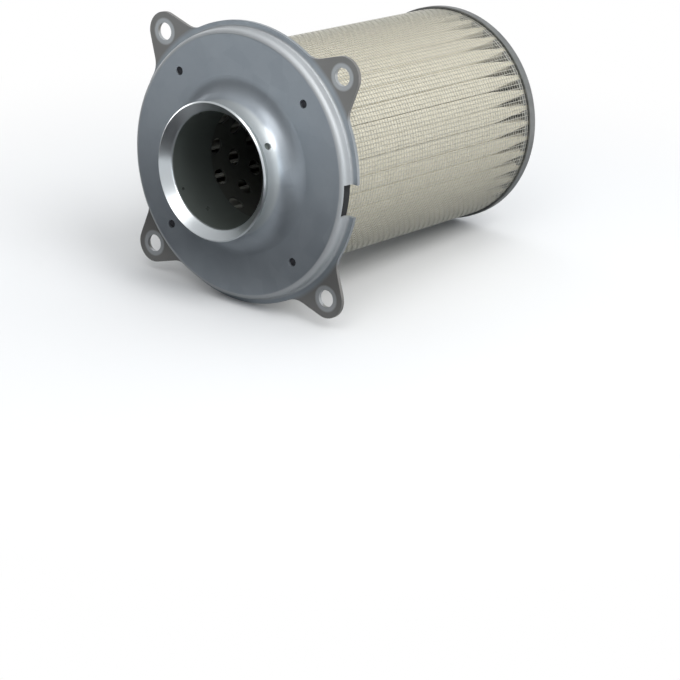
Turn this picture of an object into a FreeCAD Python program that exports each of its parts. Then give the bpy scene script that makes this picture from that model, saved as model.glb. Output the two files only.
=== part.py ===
import FreeCAD, Part
import math
import os

# Cylindrical air filter element for a motorcycle, held in its airbox by a four-eared flange.
# Frame: the filter's axis is Y, the outlet neck points along -Y and Z is up. The origin is on
# the axis, in the plane of the ears' rear faces, where the flange seats. Sizes are millimetres.

Vector = FreeCAD.Vector
axis = Vector(0, 1, 0)
centre = Vector(0, 0, 0)

# outlet sleeve
throat_r = 21.9             # clear bore of the outlet
sleeve_sheet = 0.8
sleeve_tail = 5.0           # how far the sleeve runs behind the seating plane, into the core
flare_angle = 45.0          # how far the flare leans away from the axis
flare_length = 4.6          # along the slope, from the bend to the rim

# flange plate
plate_sheet = 1.4
neck_gap = 0.15             # from the neck's inside and its end to the sleeve
neck_height = 10.1          # from the face to the neck's end
neck_land = 0.75            # straight end of the neck, in front of its hollow radius
pan_depth = 6.4             # from the seating plane to the face
edge_bend = 2.0             # outer radius of the bend from the face to the side wall
brim_bend = 0.8             # front radius of the bend from the side wall to the brim
brim_width = 2.5

# ears
ear_angle = 45.7            # from the vertical to each ear, so the holes form a rectangle
ear_reach = 6.4             # from the brim's edge to the hole's centre
ear_end_r = 7.4
ear_hole_r = 3.3
ear_taper = 27.0            # angle between an ear's straight flank and its centre line
ear_blend = 8.0             # hollow radius between an ear and the brim

# holes and the notch in the flange plate
weld_count = 4
weld_angle = 45.0           # first weld, clockwise from the top, seen from the front
weld_inset = 2.2            # from the channel's outer radius to a weld's centre
weld_hole_r = 1.6
weld_gap = 0.1
weld_sink = 0.7             # how far a weld lies below the face
stake_angle = 57.2
stake_count = 4
stake_inset = 2.8           # from the neck's end to a stake's centre
stake_r = 1.3
stake_gap = 0.15
stake_dimple_r = 0.7
notch_angle = 92.4
notch_width = 12.2
notch_depth = 5.5           # measured from the seating plane

# front channel and flange gasket
channel_sheet = 0.6
channel_bend = 1.0
channel_rim = 2.0           # how far the rim stands behind the seating plane
sealant_width = 0.9         # from the screen to the channel's rim
gasket_width = 4.0
gasket_gap = 0.2
gasket_proud = 1.0          # how far the gasket stands behind the seating plane
corner_gap = 0.1            # from the gasket to the start of the pan's corner bend

# core and pleats
core_gap = 0.2
core_sheet = 0.7
core_hole_r = 3.0
core_columns = 12
core_row_pitch = 10.0
core_margin = 14.0          # solid length at each end of the core
pleat_count = 42
paper_sheet = 0.7
paper_gap = 0.3             # from the core to the pleats' roots
tip_gap = 1.4               # between two neighbouring pleat tips
root_gap = 0.4              # between two neighbouring pleats at the core
potting_depth = 2.6
seam_angle = 221.0          # paper and screen seams, both at the lower left
clip_sheet = 0.4
clip_height = 8.0
clip_inset = 2.0            # from the pleat tips to the clip

# outer screen
element_r = 42.7
screen_thickness = 0.6
screen_gap = 0.2            # from the screen to the pleat tips
seam_width = 6.0
seam_sheet = 0.35
seam_gap = 0.05
seam_end_gap = 0.2

# end cap
cap_back = 127.0            # from the seating plane to the cap's outer face
cap_sheet = 0.7
cap_bend = 1.5
cap_gap = 0.1
cap_skirt = 4.5
dish_r = 19.0
dish_depth = 1.5

# radii from the axis outwards
sleeve_r = throat_r + sleeve_sheet
neck_inner_r = sleeve_r + neck_gap
neck_outer_r = neck_inner_r + plate_sheet
core_inner_r = sleeve_r + core_gap
core_r = core_inner_r + core_sheet
root_r = core_r + paper_gap
screen_inner_r = element_r - screen_thickness
tip_r = screen_inner_r - screen_gap
channel_inner_r = element_r + sealant_width
channel_r = channel_inner_r + channel_sheet
weld_circle_r = channel_r - weld_inset
gasket_inner_r = channel_r + gasket_gap
gasket_r = gasket_inner_r + gasket_width
wall_r = gasket_r + corner_gap + edge_bend
brim_r = wall_r + brim_width
ear_hole_circle_r = brim_r + ear_reach
cap_inner_r = element_r + cap_gap
cap_r = cap_inner_r + cap_sheet

# places along the axis, from the neck backwards
face_y = -pan_depth
neck_end_y = face_y - neck_height
stake_y = neck_end_y + stake_inset
pan_floor_y = face_y + plate_sheet
channel_floor_y = pan_floor_y + channel_sheet
paper_front_y = channel_floor_y + potting_depth
cap_floor_y = cap_back - cap_sheet
paper_back_y = cap_floor_y - potting_depth
cap_bend_y = cap_back - cap_bend
skirt_y = cap_back - cap_skirt


def radial(clock):
    """Unit vector away from the axis, clockwise from the top, seen from the front."""
    turn = math.radians(clock)
    return Vector(math.sin(turn), 0, math.cos(turn))


def around(count, first):
    return [first + step * 360.0 / count for step in range(count)]


def ear_clocks():
    return [ear_angle, 180 - ear_angle, 180 + ear_angle, 360 - ear_angle]


def bend(x, y, radius, start, end):
    """Points in the middle and at the end of an arc about (x, y), angles in degrees."""
    points = []
    for angle in ((start + end) / 2, end):
        turn = math.radians(angle)
        points.append((x + radius * math.cos(turn), y + radius * math.sin(turn)))
    return tuple(points)


def turned(start, *steps):
    """Solid of revolution about Y. A step is a point (radius, y), or the two points of a bend."""
    edges = []
    here = Vector(start[0], start[1], 0)
    for step in steps + (start,):
        if isinstance(step[0], tuple):
            middle, end = (Vector(point[0], point[1], 0) for point in step)
            edges.append(Part.Arc(here, middle, end).toShape())
        else:
            end = Vector(step[0], step[1], 0)
            edges.append(Part.makeLine(here, end))
        here = end
    return Part.Face(Part.Wire(edges)).revolve(centre, axis, 360)


def ring(inner, outer, front, back):
    return turned((inner, front), (outer, front), (outer, back), (inner, back))


def rod(radius, base, direction, length):
    return Part.makeCylinder(radius, length, base, direction)


def export(name, shape):
    shape.exportStep("parts/" + name + ".step")
    print(name, len(shape.Solids), "solids", round(shape.Volume, 1), "mm3", shape.isValid())


def ear_outline():
    """Disc of the brim's size with the ears on it, in the seating plane.

    An ear is a round end and two straight flanks. A hollow arc blends each flank into the brim.
    """
    sine, cosine = math.sin(math.radians(ear_taper)), math.cos(math.radians(ear_taper))
    blend_circle_r = brim_r + ear_blend
    along = ear_hole_circle_r + (ear_end_r + ear_blend) * sine
    across = (ear_end_r + ear_blend) * cosine
    half = along * cosine - across * sine
    run = half - math.sqrt(half ** 2 - along ** 2 - across ** 2 + blend_circle_r ** 2)
    blend = Vector(along - run * cosine, across + run * sine, 0)
    flank = Vector(sine, cosine, 0)
    start = Vector(ear_hole_circle_r, 0, 0) + flank * ear_end_r
    end = blend - flank * ear_blend
    hollow = blend - (flank + blend / blend_circle_r).normalize() * ear_blend
    root = blend * (brim_r / blend_circle_r)
    edges = []
    ears = ear_clocks()
    for clock, following in zip(ears, ears[1:] + [ears[0] + 360]):
        def place(point, side):
            return radial(clock) * point.x + radial(clock + 90) * (point.y * side)
        tip = radial(clock) * (ear_hole_circle_r + ear_end_r)
        next_root = radial(following) * root.x - radial(following + 90) * root.y
        edges.append(Part.Arc(place(root, -1), place(hollow, -1), place(end, -1)).toShape())
        edges.append(Part.makeLine(place(end, -1), place(start, -1)))
        edges.append(Part.Arc(place(start, -1), tip, place(start, 1)).toShape())
        edges.append(Part.makeLine(place(start, 1), place(end, 1)))
        edges.append(Part.Arc(place(end, 1), place(hollow, 1), place(root, 1)).toShape())
        middle = radial((clock + following) / 2) * brim_r
        edges.append(Part.Arc(place(root, 1), middle, next_root).toShape())
    return Part.Face(Part.Wire(edges))


def flange_plate():
    """Pressed plate: trumpet neck, face, side wall and brim as one sheet, with the ears."""
    neck_blend = neck_height - neck_land
    blend_r = neck_outer_r + neck_blend
    blend_y = face_y - neck_blend
    corner_r = wall_r - edge_bend
    corner_y = face_y + edge_bend
    brim_bend_r = wall_r + brim_bend
    brim_bend_y = -plate_sheet - brim_bend
    plate = turned(
        (neck_outer_r, neck_end_y),
        (neck_outer_r, blend_y),
        bend(blend_r, blend_y, neck_blend, 180, 90),
        (corner_r, face_y),
        bend(corner_r, corner_y, edge_bend, -90, 0),
        (wall_r, brim_bend_y),
        bend(brim_bend_r, brim_bend_y, brim_bend, 180, 90),
        (brim_r, -plate_sheet),
        (brim_r, 0),
        (brim_bend_r, 0),
        bend(brim_bend_r, brim_bend_y, brim_bend + plate_sheet, 90, 180),
        (wall_r - plate_sheet, corner_y),
        bend(corner_r, corner_y, edge_bend - plate_sheet, 0, -90),
        (blend_r, pan_floor_y),
        bend(blend_r, blend_y, neck_blend + plate_sheet, 90, 180),
        (neck_inner_r, neck_end_y))
    ears = ear_outline().extrude(axis * -plate_sheet)
    plate = plate.fuse(ears.cut(rod(brim_bend_r, axis * -brim_r, axis, 2 * brim_r)))
    cuts = [notch()]
    for clock in ear_clocks():
        hole = radial(clock) * ear_hole_circle_r - axis * pan_depth
        cuts.append(rod(ear_hole_r, hole, axis, 2 * pan_depth))
    for clock in around(weld_count, weld_angle):
        weld = radial(clock) * weld_circle_r + axis * 2 * face_y
        cuts.append(rod(weld_hole_r, weld, axis, 2 * pan_depth))
    for clock in around(stake_count, stake_angle):
        stake = radial(clock) * throat_r + axis * stake_y
        cuts.append(rod(stake_r, stake, radial(clock), blend_r - throat_r))
    return plate.cut(cuts).removeSplitter()


def notch():
    """Block that opens the side wall and the brim at one side."""
    inner_r = gasket_r + corner_gap
    block = Part.makeBox(notch_width, 2 * notch_depth, 2 * brim_width + edge_bend,
                         Vector(-notch_width / 2, -notch_depth, inner_r))
    block.rotate(centre, axis, notch_angle)
    return block


def outlet_sleeve():
    """Bright sleeve in the neck. It flares out past the neck's end, and stakes lock it.

    The bend into the flare turns about the corner of the neck, so it stays clear of it all round.
    """
    turn = 180 + flare_angle
    lean = math.radians(flare_angle)
    front_bend = bend(neck_inner_r, neck_end_y, neck_gap + sleeve_sheet, 180, turn)
    back_start = bend(neck_inner_r, neck_end_y, neck_gap, 180, turn)[1]

    def rim(corner):
        return corner[0] + flare_length * math.sin(lean), corner[1] - flare_length * math.cos(lean)

    sleeve = turned(
        (throat_r, sleeve_tail),
        (throat_r, neck_end_y),
        front_bend,
        rim(front_bend[1]),
        rim(back_start),
        back_start,
        bend(neck_inner_r, neck_end_y, neck_gap, turn, 180),
        (sleeve_r, sleeve_tail))
    for clock in around(stake_count, stake_angle):
        stake = radial(clock) * (throat_r + sleeve_sheet / 2) + axis * stake_y
        boss = rod(stake_r - stake_gap, stake, radial(clock), plate_sheet)
        dimple = rod(stake_dimple_r, stake - radial(clock) * sleeve_sheet, radial(clock),
                     plate_sheet / 2 + sleeve_sheet)
        sleeve = sleeve.fuse(boss).cut(dimple)
    return sleeve


def plug_welds():
    """Four round welds, through the face's holes onto the front channel."""
    welds = []
    for clock in around(weld_count, weld_angle):
        base = radial(clock) * weld_circle_r + axis * (face_y + weld_sink)
        welds.append(rod(weld_hole_r - weld_gap, base, axis, plate_sheet - weld_sink))
    return Part.makeCompound(welds)


def front_channel():
    """Pressed channel on the pan's floor: it holds the front end of the pleats."""
    bend_r = channel_r - channel_bend
    bend_y = pan_floor_y + channel_bend
    inner_r = core_r + core_gap
    return turned(
        (inner_r, pan_floor_y),
        (bend_r, pan_floor_y),
        bend(bend_r, bend_y, channel_bend, -90, 0),
        (channel_r, channel_rim),
        (channel_inner_r, channel_rim),
        (channel_inner_r, bend_y),
        bend(bend_r, bend_y, channel_bend - channel_sheet, 0, -90),
        (inner_r, channel_floor_y))


def perforated_core():
    """Steel tube with staggered rows of round holes."""
    core = ring(core_inner_r, core_r, pan_floor_y, cap_floor_y)
    first = pan_floor_y + core_margin
    rows = int((cap_floor_y - core_margin - first) // core_row_pitch) + 1
    holes = []
    for row in range(rows):
        stagger = (row % 2) * 180.0 / core_columns
        for clock in around(core_columns, stagger):
            base = radial(clock) * (throat_r / 2) + axis * (first + row * core_row_pitch)
            holes.append(rod(core_hole_r, base, radial(clock), throat_r))
    return core.cut(holes)


def star(half_angles, radii):
    """Closed face round all pleats. Each pleat gives root, tip, tip and root again."""
    points = []
    for clock in around(pleat_count, seam_angle - 180.0 / pleat_count):
        for side in (-1, 1):
            steps = list(zip(half_angles, radii))
            for half, radius in (steps if side < 0 else steps[::-1]):
                points.append(radial(clock + side * math.degrees(half)) * radius)
    return Part.Face(Part.makePolygon(points + points[:1]))


def pleated_paper():
    """One pleated sheet closed to a star: its tips meet the screen, its roots the core."""
    half_pitch = math.pi / pleat_count
    valley_r = root_r + paper_sheet
    ridge_r = tip_r - paper_sheet
    outside = star((half_pitch - root_gap / 2 / valley_r, half_pitch - tip_gap / 2 / tip_r),
                   (valley_r, tip_r))
    inside = star((half_pitch - (root_gap / 2 + paper_sheet) / root_r,
                   half_pitch - (tip_gap / 2 + paper_sheet) / ridge_r),
                  (root_r, ridge_r))
    paper = outside.cut(inside).extrude(axis * (paper_back_y - paper_front_y))
    paper.translate(axis * paper_front_y)
    return paper


def pleat_seam_clip():
    """Strip in the gap between the first and the last pleat, which it joins."""
    clip = Part.makeBox(clip_sheet, paper_back_y - paper_front_y, clip_height,
                        Vector(-clip_sheet / 2, paper_front_y, tip_r - clip_inset - clip_height))
    clip.rotate(centre, axis, seam_angle)
    return clip


def screen_seam_strip():
    """Curved strip over the screen's joint."""
    inner_r = element_r + seam_gap
    strip = ring(inner_r, inner_r + seam_sheet, paper_front_y, skirt_y - seam_end_gap)
    slab = Part.makeBox(seam_width, cap_back, element_r,
                        Vector(-seam_width / 2, paper_front_y, element_r / 2))
    slab.rotate(centre, axis, seam_angle)
    return strip.common(slab)


def end_cap():
    """Closed pressed cap with a skirt and a shallow dish in its middle."""
    bend_r = cap_r - cap_bend
    slope = cap_sheet * math.tan(math.radians(22.5))
    dish_y = cap_back - dish_depth
    return turned(
        (0, dish_y),
        (dish_r, dish_y),
        (dish_r + dish_depth, cap_back),
        (bend_r, cap_back),
        bend(bend_r, cap_bend_y, cap_bend, 90, 0),
        (cap_r, skirt_y),
        (cap_inner_r, skirt_y),
        (cap_inner_r, cap_bend_y),
        bend(bend_r, cap_bend_y, cap_bend - cap_sheet, 0, 90),
        (dish_r + dish_depth + slope, cap_floor_y),
        (dish_r + slope, dish_y - cap_sheet),
        (0, dish_y - cap_sheet))


os.makedirs("parts", exist_ok=True)
export("flange_plate", flange_plate())
export("outlet_sleeve", outlet_sleeve())
export("plug_welds", plug_welds())
export("flange_gasket", ring(gasket_inner_r, gasket_r, pan_floor_y, gasket_proud))
export("front_channel", front_channel())
export("front_potting",
       ring(core_r + core_gap, channel_r - channel_bend, channel_floor_y, paper_front_y))
export("perforated_core", perforated_core())
export("pleated_paper", pleated_paper())
export("pleat_seam_clip", pleat_seam_clip())
export("outer_screen", ring(screen_inner_r, element_r, paper_front_y, cap_bend_y))
export("screen_seam_strip", screen_seam_strip())
export("rear_potting",
       ring(core_r + core_gap, cap_r - cap_bend, paper_back_y, cap_floor_y))
export("end_cap", end_cap())
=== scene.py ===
import bpy, bmesh
import math
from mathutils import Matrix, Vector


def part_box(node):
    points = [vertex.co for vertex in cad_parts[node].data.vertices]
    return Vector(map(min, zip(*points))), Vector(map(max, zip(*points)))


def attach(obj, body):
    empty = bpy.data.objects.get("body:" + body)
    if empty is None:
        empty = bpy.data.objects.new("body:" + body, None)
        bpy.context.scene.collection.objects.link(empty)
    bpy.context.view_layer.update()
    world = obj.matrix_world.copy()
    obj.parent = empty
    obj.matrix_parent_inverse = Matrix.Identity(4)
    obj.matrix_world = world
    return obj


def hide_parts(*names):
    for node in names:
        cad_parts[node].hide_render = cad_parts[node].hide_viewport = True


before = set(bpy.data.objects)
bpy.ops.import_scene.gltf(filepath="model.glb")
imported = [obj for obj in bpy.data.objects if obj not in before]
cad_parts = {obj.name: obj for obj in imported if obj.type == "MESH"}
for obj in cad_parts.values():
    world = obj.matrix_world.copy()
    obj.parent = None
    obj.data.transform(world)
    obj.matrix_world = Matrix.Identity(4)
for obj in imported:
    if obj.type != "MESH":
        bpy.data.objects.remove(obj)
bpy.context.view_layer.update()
mm = 0.001
near = 0.001        # mm, how close counts as the same place when picking
print("frame loaded:", len(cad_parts), "nodes")


def extent(name):
    # where a turned CAD piece starts and ends along the axis, and its radius, in mm
    low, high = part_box(name)
    return tuple(round(c / mm, 3) for c in (low.y, high.y, high.x))


# selecting and drawing in edit mode

def pick(test, kind="VERT"):
    # selects the vertices, or the edges by their middle, that pass a test on x, y, z in mm
    bpy.ops.mesh.select_mode(type=kind)
    bpy.ops.mesh.select_all(action="DESELECT")
    mesh = bmesh.from_edit_mesh(bpy.context.object.data)
    if kind == "VERT":
        places = [(v, v.co) for v in mesh.verts]
    else:
        places = [(e, (e.verts[0].co + e.verts[1].co) / 2) for e in mesh.edges]
    for item, place in places:
        if test(*(c / mm for c in place)):
            item.select_set(True)
    bmesh.update_edit_mesh(bpy.context.object.data)


def startEditing():
    bpy.ops.object.transform_apply(location=True, rotation=True, scale=True)
    bpy.ops.object.mode_set(mode="EDIT")


def stopEditing(merge=None):
    # merge is how close two vertices are to become one, in metres
    bpy.ops.mesh.select_all(action="SELECT")
    if merge:
        bpy.ops.mesh.remove_doubles(threshold=merge)
    bpy.ops.mesh.normals_make_consistent(inside=False)
    bpy.ops.object.mode_set(mode="OBJECT")


def firstPoint(x, y, z):
    # a plane drawn together to one vertex, ready to extrude a line from
    bpy.ops.object.select_all(action="DESELECT")
    bpy.ops.mesh.primitive_plane_add(size=mm, location=(x * mm, y * mm, z * mm))
    startEditing()
    bpy.ops.mesh.select_mode(type="VERT")
    bpy.ops.mesh.select_all(action="SELECT")
    bpy.ops.mesh.merge(type="CENTER")


def lineTo(x, y, z):
    bpy.ops.mesh.extrude_region_move(TRANSFORM_OT_translate={"value": (x * mm, y * mm, z * mm)})


profile = {"arcStep": 15, "merge": 1e-7, "mergeRounded": 1e-6, "around": 128}


def drawProfile(corners):
    # corners are (radius, y, bend) in mm, drawn above the axis and rounded by their bend
    firstPoint(0, corners[0][1], corners[0][0])
    for here, there in zip(corners, corners[1:] + corners[:1]):
        lineTo(0, there[1] - here[1], there[0] - here[0])
    bpy.ops.mesh.select_all(action="SELECT")
    bpy.ops.mesh.remove_doubles(threshold=profile["merge"])
    for i, (radius, y, bend) in enumerate(corners):
        if not bend:
            continue
        before, after = corners[i - 1], corners[(i + 1) % len(corners)]
        a = math.atan2(y - before[1], radius - before[0])
        b = math.atan2(after[1] - y, after[0] - radius)
        turn = abs((b - a + math.pi) % (2 * math.pi) - math.pi)
        steps = math.degrees(turn) / profile["arcStep"] * min(1, bend) ** 0.3    # fewer on a small bend
        pick(lambda px, py, pz: abs(py - y) < near and abs(pz - radius) < near)
        bpy.ops.mesh.bevel(affect="VERTICES", offset=bend * math.tan(turn / 2) * mm,
                           segments=max(2, round(steps)))
    bpy.ops.mesh.select_all(action="SELECT")
    bpy.ops.mesh.remove_doubles(threshold=profile["mergeRounded"])


def spinProfile():
    bpy.ops.mesh.select_all(action="SELECT")
    bpy.ops.mesh.spin(steps=profile["around"], angle=2 * math.pi, center=(0, 0, 0), axis=(0, 1, 0))
    stopEditing(profile["merge"])


def copyRound(count):
    # copies everything until count of it stand evenly round the axis
    bpy.ops.mesh.select_all(action="SELECT")
    bpy.ops.mesh.spin(dupli=True, steps=count - 1, angle=2 * math.pi * (count - 1) / count,
                      center=(0, 0, 0), axis=(0, 1, 0))


def keepPiece(name, slot, *nodes, smooth=35):
    piece = bpy.context.object
    piece.name = name
    piece.data.materials.clear()
    piece.data.materials.append(finishes[slot])
    bpy.ops.object.shade_smooth_by_angle(angle=math.radians(smooth))
    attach(piece, "root")
    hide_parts(*nodes)
    print(name, "made:", len(piece.data.polygons), "faces")


# building materials

def newMaterial(name, **values):
    material = bpy.data.materials.new(name)
    material.use_nodes = True
    shader = material.node_tree.nodes["Principled BSDF"]
    for socket, value in values.items():
        shader.inputs[socket].default_value = value
    return material, shader


def node(material, kind, **settings):
    made = material.node_tree.nodes.new(kind)
    for key, value in settings.items():
        if key in made.inputs:
            made.inputs[key].default_value = value
        else:
            setattr(made, key, value)
    return made


def join(material, source, output, target, socket):
    material.node_tree.links.new(source.outputs[output], target.inputs[socket])


def placed(material, scale=(1000, 1000, 1000)):
    # object coordinates, in mm unless a scale is given
    where = node(material, "ShaderNodeTexCoord")
    spread = node(material, "ShaderNodeMapping", Scale=scale)
    join(material, where, "Object", spread, "Vector")
    return spread


def noise(material, where, scale, detail=4, rough=0.55):
    made = node(material, "ShaderNodeTexNoise", Scale=scale, Detail=detail, Roughness=rough)
    join(material, where, "Vector", made, "Vector")
    return made


def ramp(material, source, output, *stops):
    made = node(material, "ShaderNodeValToRGB")
    for element, (place, color) in zip(made.color_ramp.elements, stops):
        element.position = place
        element.color = (*color, 1)
    join(material, source, output, made, "Fac")
    return made


def bump(material, shader, height, depth, strength=0.5):
    # depth in mm
    made = node(material, "ShaderNodeBump", Distance=depth * mm, Strength=strength)
    join(material, height, "Fac", made, "Height")
    join(material, made, "Normal", shader, "Normal")


def mapRange(material, source, output, span, values=(0, 1)):
    made = node(material, "ShaderNodeMapRange")
    for i, value in enumerate((*span, *values)):
        made.inputs[i + 1].default_value = value
    join(material, source, output, made, 0)
    return made


def combine(material, operation, first, output, second):
    made = node(material, "ShaderNodeMath", operation=operation)
    join(material, first, output, made, 0)
    join(material, second, 0, made, 1)
    return made


def scaled(material, source, size):
    made = node(material, "ShaderNodeMath", operation="MULTIPLY")
    made.inputs[1].default_value = size
    join(material, source, 0, made, 0)
    return made


def band(material, source, output, low, high, soft):
    # 1 between low and high, and falling to 0 over soft on each side
    rise = mapRange(material, source, output, (low - soft, low))
    fall = mapRange(material, source, output, (high, high + soft), (1, 0))
    return combine(material, "MULTIPLY", rise, 0, fall)


def axisBand(material, where, span, line=None):
    # a band by the distance from the filter's axis, or from four lines beside it, in mm
    if line:
        quarter = node(material, "ShaderNodeVectorMath", operation="ABSOLUTE")
        join(material, where, "Vector", quarter, 0)
        where = node(material, "ShaderNodeVectorMath", operation="SUBTRACT")
        where.inputs[1].default_value = line
        join(material, quarter, "Vector", where, 0)
    flat = node(material, "ShaderNodeVectorMath", operation="MULTIPLY")
    flat.inputs[1].default_value = (1, 0, 1)
    join(material, where, "Vector", flat, 0)
    far = node(material, "ShaderNodeVectorMath", operation="LENGTH")
    join(material, flat, "Vector", far, 0)
    return band(material, far, "Value", *span)


def apart(material, where):
    # x, y and z by themselves
    made = node(material, "ShaderNodeSeparateXYZ")
    join(material, where, "Vector", made, 0)
    return made


def drawnBand(material, where, radii, heights):
    # a ring of the plate, by its radii and by its place along the axis
    return combine(material, "MULTIPLY", axisBand(material, where, radii), 0,
                   band(material, apart(material, where), "Y", *heights))


def blendTone(material, factor, first, output, color):
    mix = node(material, "ShaderNodeMix", data_type="RGBA")
    mix.inputs[7].default_value = (*color, 1)
    join(material, factor, 0, mix, 0)
    join(material, first, output, mix, 6)
    return mix


# each finish; a band is (low, high, soft edge) in mm

plateFinish = {"metallic": 0.68, "gloss": (0.27, 0.40),
               "dark": (0.33, 0.36, 0.395), "light": (0.41, 0.445, 0.475),
               "spangle": 0.13, "grain": 0.07, "grainShare": 0.78, "pits": 1.6, "pitDepth": 0.02,
               # wall and neck are lighter tones painted on as a highlight
               "wall": (0.54, 0.555, 0.565), "wallRough": 0.62,
               "wallRadii": (48.9, 51.3, 0.4), "wallHeights": (-6.35, -1.5, 0.2),
               "neck": (0.46, 0.485, 0.49), "neckRough": 0.46,
               "neckRadii": (22.0, 25.6, 0.9), "neckHeights": (-17.5, -12.0, 1.2),
               "ear": (0.27, 0.262, 0.25), "earRadii": (54.2, 80.0, 1.6),
               "seat": (0.52, 0.53, 0.535), "seatRadii": (3.0, 4.6, 0.7), "earHole": (42.51, 0, 41.49)}


def galvanisedPlate():
    look = plateFinish
    material, shader = newMaterial("galvanisedPlate", Metallic=look["metallic"])
    where = placed(material)
    cells = node(material, "ShaderNodeTexVoronoi", Scale=look["spangle"])
    join(material, where, "Vector", cells, "Vector")
    soft = noise(material, where, look["grain"], 5)
    both = node(material, "ShaderNodeMix", data_type="FLOAT")
    both.inputs[0].default_value = look["grainShare"]
    join(material, cells, "Color", both, 2)
    join(material, soft, "Fac", both, 3)
    tone = ramp(material, both, 0, (0.25, look["dark"]), (0.75, look["light"]))
    # painted highlight: the side wall and the steep part of the neck are painted brighter than the face,
    # for the shine they catch from the lamps
    wall = drawnBand(material, where, look["wallRadii"], look["wallHeights"])
    neck = drawnBand(material, where, look["neckRadii"], look["neckHeights"])
    tone = blendTone(material, wall, tone, "Color", look["wall"])
    tone = blendTone(material, neck, tone, 2, look["neck"])
    # the ears are duller, and the metal round their holes is lighter
    outside = axisBand(material, where, look["earRadii"])
    tone = blendTone(material, outside, tone, 2, look["ear"])
    seat = axisBand(material, where, look["seatRadii"], look["earHole"])
    tone = blendTone(material, seat, tone, 2, look["seat"])
    join(material, tone, 2, shader, "Base Color")
    # the drawn parts have a broader shine than the flat face
    gloss = mapRange(material, soft, "Fac", (0, 1), look["gloss"])
    drawn = combine(material, "MAXIMUM", scaled(material, wall, look["wallRough"]), 0,
                    scaled(material, neck, look["neckRough"]))
    join(material, combine(material, "MAXIMUM", gloss, 0, drawn), 0, shader, "Roughness")
    bump(material, shader, noise(material, where, look["pits"], 3), look["pitDepth"])
    return material


# inside is a dark tone painted as the shade inside the bore
sleeveFinish = {"mouth": (0.82, 0.85, 0.86), "inside": (0.115, 0.13, 0.12), "metallic": (1.0, 0.2),
                "change": (-17.0, -16.2), "gloss": (0.24, 0.36), "clouds": 0.2,
                "streaks": (60, 2400, 60), "streakDepth": 0.01}


def brightSleeve():
    # bright on the flare, and painted dark from the throat inwards: painted shade for the bore, which the
    # light hardly reaches
    look = sleeveFinish
    material, shader = newMaterial("brightSleeve")
    where = placed(material)
    deep = mapRange(material, apart(material, where), "Y", look["change"])
    tone = ramp(material, deep, 0, (0, look["mouth"]), (1, look["inside"]))
    join(material, tone, "Color", shader, "Base Color")
    join(material, mapRange(material, deep, 0, (0, 1), look["metallic"]), 0, shader, "Metallic")
    gloss = mapRange(material, noise(material, where, look["clouds"]), "Fac", (0, 1), look["gloss"])
    join(material, gloss, 0, shader, "Roughness")
    streak = noise(material, placed(material, look["streaks"]), 1, 3)
    bump(material, shader, streak, look["streakDepth"], 0.35)
    return material


paperFinish = {"light": (0.705, 0.66, 0.537), "dark": (0.636, 0.593, 0.478), "roughness": 0.92,
               # the fold and inside tones are painted shade, for the creases and the paper next to the core
               "creaseShadeTone": (0.33, 0.31, 0.26), "foldRadii": (0, 39.2, 2.4),
               "inside": (0.40, 0.40, 0.36), "insideRadii": (0, 27.0, 6.0),
               "mottle": 0.35, "fibre": 1.4, "fibreScale": (1600, 500, 1600), "fibreDepth": 0.08}


def filterPaper():
    look = paperFinish
    material, shader = newMaterial("filterPaper", Roughness=look["roughness"])
    where = placed(material)
    mottle = noise(material, where, look["mottle"], 5, 0.6)
    tone = ramp(material, mottle, "Fac", (0.3, look["dark"]), (0.7, look["light"]))
    # painted shade: the folds between the pleats are painted darker, and darker again next to the core,
    # where the shade falls
    creaseShade = axisBand(material, where, look["foldRadii"])
    tone = blendTone(material, creaseShade, tone, "Color", look["creaseShadeTone"])
    shaded = axisBand(material, where, look["insideRadii"])
    tone = blendTone(material, shaded, tone, 2, look["inside"])
    join(material, tone, 2, shader, "Base Color")
    fibre = noise(material, placed(material, look["fibreScale"]), look["fibre"], 4, 0.65)
    bump(material, shader, fibre, look["fibreDepth"], 0.6)
    return material


# finishes that are only mottled: grain and pits are (scale, detail) of a noise, depth is in mm
mottledFinishes = {
    "screen_wire": dict(name="screenWire", metallic=0.55, roughness=0.5, grain=(0.5, 3),
                        dark=(0.58, 0.565, 0.505), light=(0.69, 0.67, 0.60)),
    "zinc_sheet": dict(name="zincSheet", metallic=1.0, roughness=0.38, grain=(0.25, 4),
                       dark=(0.30, 0.31, 0.32), light=(0.42, 0.43, 0.44), pits=(1.5, 3), depth=0.02),
    # painted shade: the core is painted dark for the shade deep in the throat
    "shaded_core": dict(name="shadedCore", metallic=0.2, roughness=0.5, grain=(0.25, 4),
                       dark=(0.090, 0.094, 0.084), light=(0.112, 0.116, 0.104), pits=(1.5, 3), depth=0.02),
    "cap_steel": dict(name="capSteel", metallic=0.7, roughness=(0.34, 0.5), clouds=0.4, grain=(0.15, 5),
                      dark=(0.19, 0.193, 0.19), light=(0.28, 0.283, 0.278), pits=(2.2, 3), depth=0.03),
    "weld_metal": dict(name="weldMetal", metallic=0.6, roughness=0.6, grain=(1.2, 4), darkUpTo=0.35,
                       dark=(0.03, 0.03, 0.035), light=(0.10, 0.10, 0.11),
                       pits=(2.5, 3), depth=0.06, strength=0.7),
    "gasket_rubber": dict(name="gasketRubber", metallic=0, roughness=0.72, grain=(0.9, 5), lightFrom=0.8,
                          dark=(0.010, 0.010, 0.011), light=(0.024, 0.024, 0.026),
                          pits=(3.0, 3), depth=0.08, strength=0.6),
    "sealant": dict(name="sealant", metallic=0, roughness=0.35, grain=(0.3, 4),
                    dark=(0.24, 0.24, 0.23), light=(0.34, 0.34, 0.325), pits=(0.6, 3), depth=0.2),
}


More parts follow.
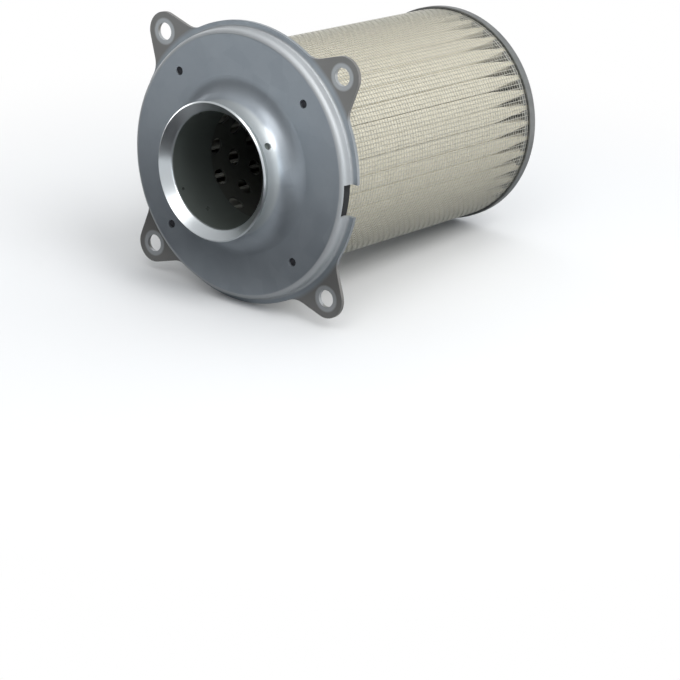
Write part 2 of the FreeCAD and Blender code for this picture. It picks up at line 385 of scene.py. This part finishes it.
def mottledFinish(name, metallic, roughness, grain, dark, light, darkUpTo=0.3, lightFrom=0.75,
                  clouds=None, pits=None, depth=0, strength=0.5):
    # with clouds, the gloss changes from place to place between two roughnesses
    material, shader = newMaterial(name, Metallic=metallic)
    where = placed(material)
    tone = ramp(material, noise(material, where, *grain), "Fac", (darkUpTo, dark), (lightFrom, light))
    join(material, tone, "Color", shader, "Base Color")
    if clouds:
        gloss = mapRange(material, noise(material, where, clouds), "Fac", (0, 1), roughness)
        join(material, gloss, 0, shader, "Roughness")
    else:
        shader.inputs["Roughness"].default_value = roughness
    if pits:
        bump(material, shader, noise(material, where, *pits), depth, strength)
    return material


finishes = {"galvanised_plate": galvanisedPlate(), "bright_sleeve": brightSleeve(),
            "filter_paper": filterPaper()}
for slot, look in mottledFinishes.items():
    finishes[slot] = mottledFinish(**look)
print("materials made:", len(finishes))


# CAD pieces that stay, each in its own finish

kept = {"flange_plate": "galvanised_plate", "outlet_sleeve": "bright_sleeve", "plug_welds": "weld_metal",
        "front_channel": "zinc_sheet", "perforated_core": "shaded_core",
        "pleat_seam_clip": "zinc_sheet", "screen_seam_strip": "zinc_sheet", "end_cap": "cap_steel"}
for name, finish in kept.items():
    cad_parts[name].data.materials[0] = finishes[finish]
print("CAD pieces finished:", len(kept))


# woven screen: wires along the element and hoops round it, over and under in turn

screen = {"wire": 0.27, "around": 164, "under": 0.3, "frontGap": 0.4, "backGap": 0.2}
front, back, outer = extent("outer_screen")
screen["front"], screen["back"] = front + screen["frontGap"], back - screen["backGap"]
screen["radius"] = outer - screen["under"]
screenPitch = 2 * math.pi * screen["radius"] / screen["around"]
screenSpans = int((screen["back"] - screen["front"]) / screenPitch)
screenStep = 2 * math.pi / screen["around"]


def copyAcross(along):
    # a second wire, one place round and this far along
    bpy.ops.mesh.select_all(action="SELECT")
    bpy.ops.mesh.duplicate_move(TRANSFORM_OT_translate={"value": (0, along * mm, 0)})
    bpy.ops.transform.rotate(value=screenStep, orient_axis="Y", center_override=(0, 0, 0))


def longWires():
    length = screenSpans * screenPitch
    middle = screen["front"] + length / 2
    bpy.ops.object.select_all(action="DESELECT")
    bpy.ops.mesh.primitive_cylinder_add(
        vertices=4, radius=screen["wire"] / 2 * mm, depth=length * mm, rotation=(math.pi / 2, 0, 0),
        location=(0, middle * mm, screen["radius"] * mm))
    startEditing()
    pick(lambda x, y, z: abs(y - middle) < near, "EDGE")
    bpy.ops.mesh.subdivide(number_cuts=screenSpans - 1)
    for side in (0, 1):
        pick(lambda x, y, z: round((y - screen["front"]) / screenPitch) % 2 == side)
        bpy.ops.transform.translate(value=(0, 0, (0.5 - side) * screen["wire"] * mm))
    copyAcross(-screenPitch)
    copyRound(screen["around"] // 2)
    stopEditing()
    keepPiece("screenLongWires", "screen_wire", "outer_screen", smooth=180)


def hoopWires():
    bpy.ops.object.select_all(action="DESELECT")
    bpy.ops.mesh.primitive_torus_add(
        major_radius=screen["radius"] * mm, minor_radius=screen["wire"] / 2 * mm,
        major_segments=screen["around"], minor_segments=4, rotation=(math.pi / 2, 0, 0),
        location=(0, (screen["front"] + screenPitch) * mm, 0))
    startEditing()
    for side in (0, 1):
        pick(lambda x, y, z: round(math.atan2(x, z) / screenStep) % 2 == side)
        size = 1 + (0.5 - side) * screen["wire"] / screen["radius"]
        bpy.ops.transform.resize(value=(size, 1, size), center_override=(0, 0, 0))
    copyAcross(screenPitch)
    stopEditing()
    row = bpy.context.object.modifiers.new("hoops", "ARRAY")
    row.use_relative_offset, row.use_constant_offset = False, True
    row.constant_offset_displace = (0, 2 * screenPitch * mm, 0)
    row.count = (screenSpans - 1) // 2
    bpy.ops.object.modifier_apply(modifier=row.name)
    keepPiece("screenHoopWires", "screen_wire", "outer_screen", smooth=180)


# pleated paper: one pleat drawn across, drawn out along the axis, pinched at the cap, copied round
# flank is (half width, radius); a pinch share is (from radius, to radius, how much of the pinch)

paper = {"count": 42, "firstGap": 221.0, "sheet": 0.6,
         "root": 23.9, "rootHalf": 1.58, "rootRise": 0.3,
         "flank": ((2.1, 29.5), (2.52, 35.0), (2.86, 39.0)),
         "tip": 41.95, "tipHalf": 3.09, "tipRound": 0.45, "crown": 0.12,
         "stations": (20, 42, 64, 84, 97, 103, 107, 110, 113, 116, 118.5, 120.5, 122),
         "pinchStart": 101.0, "pinchEnd": 121.5, "pinchHalf": 0.95,
         "pinchShares": ((32, 36, 0.10), (36, 40, 0.45), (40, 43, 1.0)), "merge": 1e-6}
paper["front"], paper["back"] = extent("pleated_paper")[:2]


def drawPleat():
    half = math.pi * paper["root"] / paper["count"]
    outline = [(-half, paper["root"]), (-paper["rootHalf"], paper["root"] + paper["rootRise"])]
    outline += [(-x, z) for x, z in paper["flank"]]
    outline += [(-paper["tipHalf"], paper["tip"])]
    outline += [(-x, z) for x, z in outline[::-1]]
    firstPoint(outline[0][0], paper["front"], outline[0][1])
    for here, there in zip(outline, outline[1:]):
        lineTo(there[0] - here[0], 0, there[1] - here[1])
    atTip = paper["tip"] - near
    pick(lambda x, y, z: z > atTip)
    bpy.ops.mesh.bevel(affect="VERTICES", offset=paper["tipRound"] * mm, segments=3)
    pick(lambda x, y, z: abs(x) < near and z > atTip, "EDGE")
    bpy.ops.mesh.subdivide(number_cuts=3)
    pick(lambda x, y, z: abs(x) < near and z > atTip)
    bpy.ops.transform.translate(value=(0, 0, paper["crown"] * mm))


def pinchPleat(stations):
    # the tips close up towards the cap, and the flanks follow by less
    for y in stations:
        along = (y - paper["pinchStart"]) / (paper["pinchEnd"] - paper["pinchStart"])
        if along <= 0:
            continue
        for low, high, share in paper["pinchShares"]:
            size = 1 + (paper["pinchHalf"] / paper["tipHalf"] - 1) * min(1, along) * share
            pick(lambda px, py, pz: abs(py - y) < near and low < pz <= high)
            bpy.ops.transform.resize(value=(size, 1, 1), center_override=(0, 0, 0))


def pleats():
    drawPleat()
    stations = (paper["front"], *paper["stations"], paper["back"])
    bpy.ops.mesh.select_all(action="SELECT")
    for here, there in zip(stations, stations[1:]):
        lineTo(0, there - here, 0)
    pinchPleat(stations)
    bpy.ops.mesh.select_all(action="SELECT")
    turn = math.radians(paper["firstGap"] + 180 / paper["count"])
    bpy.ops.transform.rotate(value=turn, orient_axis="Y", center_override=(0, 0, 0))
    copyRound(paper["count"])
    stopEditing(paper["merge"])
    wall = bpy.context.object.modifiers.new("sheet", "SOLIDIFY")
    wall.thickness, wall.offset = paper["sheet"] * mm, -1
    bpy.ops.object.modifier_apply(modifier=wall.name)
    keepPiece("pleatedPaper", "filter_paper", "pleated_paper", smooth=50)


# flange gasket: a soft ring in the pan, swollen and grooved where it stands proud

gasket = {"clear": 0.1, "fall": 0.1, "edge": 0.7, "round": 0.3,
          "groove": 0.25, "grooveHalf": 0.6, "grooveRound": 0.2}


def flangeGasket():
    # it lies in the pan, round the channel
    floor, proud, outer = extent("flange_gasket")
    outer, inner = outer - gasket["clear"], extent("front_channel")[2] + gasket["clear"]
    middle, soft = (inner + outer) / 2, gasket["round"]
    drawProfile([(inner, floor, soft), (outer, floor, soft),
                 (outer, proud - gasket["fall"], gasket["edge"]),
                 (middle + gasket["grooveHalf"], proud, soft),
                 (middle, proud - gasket["groove"], gasket["grooveRound"]),
                 (middle - gasket["grooveHalf"], proud, soft),
                 (inner, proud - gasket["fall"], gasket["edge"])])
    spinProfile()
    keepPiece("flangeGasket", "gasket_rubber", "flange_gasket")


# sealant that holds the pleats' two ends, drawn up at the walls as it set
# slopes, crests and the flat are measured in from the sealant's own walls

potting = {"coreGap": 0.2, "clear": 0.1, "innerSlope": 1.6, "climb": 0.45, "round": 0.5,
           "frontRise": 0.05, "frontFall": 0.1, "frontEdgeRound": 0.25,
           "frontCrest": 0.7, "frontCrestRound": 0.2, "frontSlope": 1.9,
           "backLap": 2.7, "backEdgeRound": 0.2, "backFlat": 4.4, "backFlatRound": 0.8,
           "backCrest": 1.5, "backCrestFall": 0.3, "backRound": 0.6}
potting["inner"] = extent("perforated_core")[2] + potting["coreGap"]


def frontPotting():
    floor, top, outer = extent("front_potting")
    inner, outer, level = potting["inner"], outer - potting["clear"], top + potting["frontRise"]
    crest = level + potting["climb"]
    drawProfile([(inner, floor, 0), (outer, floor, potting["round"]),
                 (outer, level - potting["frontFall"], potting["frontEdgeRound"]),
                 (outer - potting["frontCrest"], crest, potting["frontCrestRound"]),
                 (outer - potting["frontSlope"], level, potting["round"]),
                 (inner + potting["innerSlope"], level, potting["round"]),
                 (inner, crest, 0)])
    spinProfile()
    keepPiece("frontPotting", "sealant", "front_potting")


def rearPotting():
    # its edge laps forward over the pleats' tips
    level, floor, outer = extent("rear_potting")
    inner, outer, edge = potting["inner"], outer - potting["clear"], level - potting["backLap"]
    drawProfile([(inner, floor, 0), (inner, level - potting["climb"], 0),
                 (inner + potting["innerSlope"], level, potting["round"]),
                 (outer - potting["backFlat"], level, potting["backFlatRound"]),
                 (outer - potting["backCrest"], edge + potting["backCrestFall"], potting["backRound"]),
                 (outer, edge, potting["backEdgeRound"]),
                 (outer, floor, potting["backRound"])])
    spinProfile()
    keepPiece("rearPotting", "sealant", "rear_potting")


longWires()
hoopWires()
pleats()
flangeGasket()
frontPotting()
rearPotting()


# floor: places along it are in mm, and a band is (low, high, soft edge)

floorLook = {"size": 12, "unseen": (0.40, 0.41, 0.42), "seen": (0.86, 0.86, 0.86),
             # the strip is a dark floor tone that only reflections see, painted to darken the face's
             # reflection
             "shadeStrip": (-190, -45, 25), "shadeStripTone": (0.04, 0.04, 0.043),
             "beyond": (-6000, -280, 60), "beyondTone": (0.90, 0.93, 0.95), "mirrored": (-55, -15),
             "fadeRadius": 280, "fadeShift": -0.2, "fade": (0.0, 0.6)}


def floorFinish():
    look = floorLook
    material = bpy.data.materials.new("studioFloor")
    material.use_nodes = True
    material.node_tree.nodes.clear()
    where = placed(material)
    path = node(material, "ShaderNodeLightPath")
    behind = apart(material, where)
    shown = node(material, "ShaderNodeMix", data_type="RGBA")
    shown.inputs[6].default_value, shown.inputs[7].default_value = (*look["unseen"], 1), (*look["seen"], 1)
    join(material, path, "Is Camera Ray", shown, 0)
    # painted reflection: only glossy rays see a dark strip of floor in front of the neck, which darkens the
    # reflection in the face, and a pale floor beyond it
    tone = shown
    for part in ("shadeStrip", "beyond"):
        stretch = band(material, behind, "Y", *look[part])
        mirroredPart = combine(material, "MULTIPLY", path, "Is Glossy Ray", stretch)
        tone = blendTone(material, mirroredPart, tone, 2, look[part + "Tone"])
    plain = node(material, "ShaderNodeBsdfDiffuse")
    join(material, tone, 2, plain, "Color")
    # away from the filter the floor turns white, for the camera and for metal that faces back
    back = mapRange(material, behind, "Y", look["mirrored"])
    mirrored = combine(material, "MULTIPLY", path, "Is Glossy Ray", back)
    seen = combine(material, "MAXIMUM", path, "Is Camera Ray", mirrored)
    far = node(material, "ShaderNodeTexGradient", gradient_type="SPHERICAL")
    spread = node(material, "ShaderNodeMapping", Scale=[1 / look["fadeRadius"]] * 3,
                  Location=(0, look["fadeShift"], 0))
    join(material, where, "Vector", spread, "Vector")
    join(material, spread, "Vector", far, "Vector")
    edge = mapRange(material, far, "Color", look["fade"], (1, 0))
    edge.interpolation_type = "SMOOTHSTEP"
    white = node(material, "ShaderNodeEmission", Color=(1, 1, 1, 1), Strength=1.0)
    mix = node(material, "ShaderNodeMixShader")
    join(material, combine(material, "MULTIPLY", seen, 0, edge), 0, mix, 0)
    join(material, plain, 0, mix, 1)
    join(material, white, 0, mix, 2)
    join(material, mix, 0, node(material, "ShaderNodeOutputMaterial"), "Surface")
    return material


def floorPlane():
    # the floor touches the lowest points of the brim, at the plate's back, and of the cap's end
    (plateLow, plateHigh), (capLow, capHigh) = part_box("flange_plate"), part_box("end_cap")
    slope = math.atan2(capLow.z - plateLow.z, capHigh.y - plateHigh.y)
    bpy.ops.object.select_all(action="DESELECT")
    bpy.ops.mesh.primitive_plane_add(size=floorLook["size"], location=(0, plateHigh.y, plateLow.z),
                                     rotation=(slope, 0, 0))
    floor = bpy.context.object
    floor.name = "studioFloor"
    floor.data.materials.append(floorFinish())


# level is what a lamp adds to a white matt surface that faces it at the target

lampTarget = (0, 0.05, 0)
lampSet = {
    "keyLamp": dict(place=(0.72, -0.12, 0.78), size=0.60, level=0.46),
    "topLamp": dict(place=(0.05, 0.15, 1.10), size=0.60, level=0.06),
    "mouthLamp": dict(place=(0.26, -0.56, 0.70), size=0.62, level=0.17),
    "rightLamp": dict(place=(0.95, -0.10, 0.14), size=0.50, level=0.10, color=(0.78, 0.90, 1.0)),
    "sideLamp": dict(place=(-0.95, 0.25, 0.22), size=0.50, level=0.16),
}


def areaLamp(name, place, size, level, color=(1, 1, 1)):
    bpy.ops.object.light_add(type="AREA", location=place)
    lamp = bpy.context.object
    lamp.name = name
    far = math.dist(place, lampTarget)
    x, y, z = (t - p for t, p in zip(lampTarget, place))
    lamp.rotation_euler = (math.atan2(math.hypot(x, y), -z), 0, math.atan2(y, x) - math.pi / 2)
    lamp.data.shape = "DISK"
    lamp.data.size = size
    lamp.data.energy = level * math.pi ** 2 * far ** 2
    lamp.data.color = color


studio = {"tint": (0.94, 0.97, 1.0), "front": 0.16, "around": 0.80,
          "bright": (0.45, 0.70, 0.45), "turn": (-0.75, 0.35)}


def studioWorld():
    # the room is dim in front of the neck and pale all round, and the camera sees it white
    world = bpy.data.worlds.new("studio")
    bpy.context.scene.world = world
    world.use_nodes = True
    around = world.node_tree.nodes["Background"]
    around.inputs["Color"].default_value = (*studio["tint"], 1)
    where = node(world, "ShaderNodeTexCoord")
    facing = node(world, "ShaderNodeVectorMath", operation="DOT_PRODUCT")
    facing.inputs[1].default_value = studio["bright"]
    join(world, where, "Generated", facing, 0)
    level = mapRange(world, facing, "Value", studio["turn"], (studio["front"], studio["around"]))
    level.interpolation_type = "SMOOTHSTEP"
    join(world, level, 0, around, "Strength")
    white = node(world, "ShaderNodeBackground", Color=(1, 1, 1, 1), Strength=1.0)
    path = node(world, "ShaderNodeLightPath")
    mix = node(world, "ShaderNodeMixShader")
    join(world, path, "Is Camera Ray", mix, 0)
    join(world, around, 0, mix, 1)
    join(world, white, 0, mix, 2)
    join(world, mix, 0, world.node_tree.nodes["World Output"], "Surface")


view = {"place": (0.54408, -0.65636, 0.23822), "turn": (70.2557, -4.1620, 38.4979),
        "lens": 126.25, "sensor": 36, "clip": (0.01, 50)}


def standCamera():
    bpy.ops.object.camera_add(location=view["place"], rotation=tuple(math.radians(a) for a in view["turn"]))
    camera = bpy.context.object
    camera.data.lens, camera.data.sensor_width = view["lens"], view["sensor"]
    camera.data.clip_start, camera.data.clip_end = view["clip"]
    bpy.context.scene.camera = camera


for name, lamp in lampSet.items():
    areaLamp(name, **lamp)
studioWorld()
floorPlane()
standCamera()
bpy.context.scene.view_settings.view_transform = "Standard"
print("stage, lamps and camera set")
